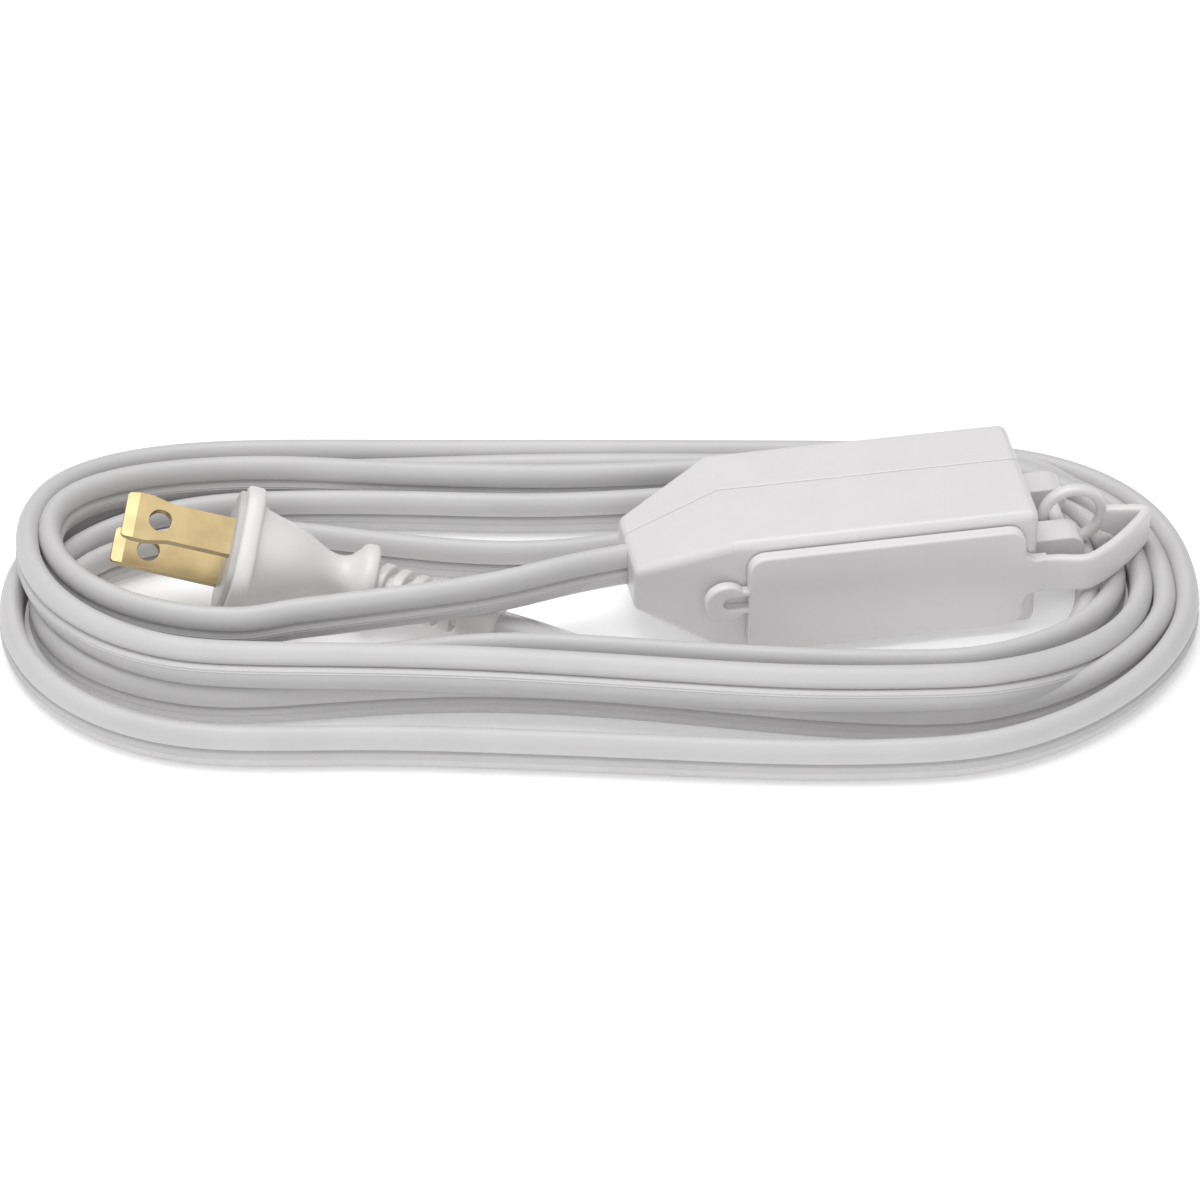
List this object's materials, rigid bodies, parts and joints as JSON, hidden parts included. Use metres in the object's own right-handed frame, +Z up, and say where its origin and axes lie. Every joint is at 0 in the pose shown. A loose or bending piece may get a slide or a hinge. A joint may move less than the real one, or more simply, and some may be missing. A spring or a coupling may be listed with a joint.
{
  "type": "extension cord",
  "caption": "White flat twin household extension cord wound in an elongated coil, with a polarised plug and an outlet tap that has a snap-in safety cover on a strap.",
  "frame": {"origin": "centre of the underside of the outlet tap with its cover and strap, on the surface it rests on", "axes": "+X along the tap from its cord nose towards the cover strap, -Y out of the covered outlet face, +Z up"},
  "size_m": [0.1917, 0.1041, 0.0252],
  "materials": {
    "tap_white": "satin moulded vinyl",
    "cover_white": "satin soft plastic",
    "plug_white": "satin moulded vinyl",
    "cord_white": "satin extruded vinyl",
    "insulator": "matte",
    "face_plate": "grey semi-clear plastic",
    "brass": "bright rolled brass",
    "copper": "bare stranded copper"
  },
  "bodies": {
    "cord_set": {"tap_shell_front": "tap_white", "tap_shell_rear": "tap_white", "tether_bar": "tap_white", "neutral_contact_strip": "brass", "line_contact_strip": "brass", "tap_crimp_neutral": "brass", "tap_crimp_line": "brass", "tap_copper_neutral": "copper", "tap_copper_line": "copper", "tap_cord_tail": "cord_white", "cord_grip": "insulator", "cover_strap": "cover_white", "plug_body": "plug_white", "plug_face_plate": "face_plate", "plug_core": "insulator", "neutral_blade": "brass", "line_blade": "brass", "plug_crimp_neutral": "brass", "plug_crimp_line": "brass", "plug_copper_neutral": "copper", "plug_copper_line": "copper", "plug_cord_tail": "cord_white", "plug_strain_relief": "plug_white", "tap_lead": "cord_white", "plug_lead": "cord_white", "cord_coil": "cord_white"},
    "cover": {"safety_cover": "cover_white", "pull_tab": "cover_white"}
  },
  "joints": [
    {"name": "cover_pull", "type": "slide", "parent": "cord_set", "child": "cover", "axis": [0, -1, 0], "range_m": [0, 0.007], "deforming": ["cover_strap"]}
  ]
}
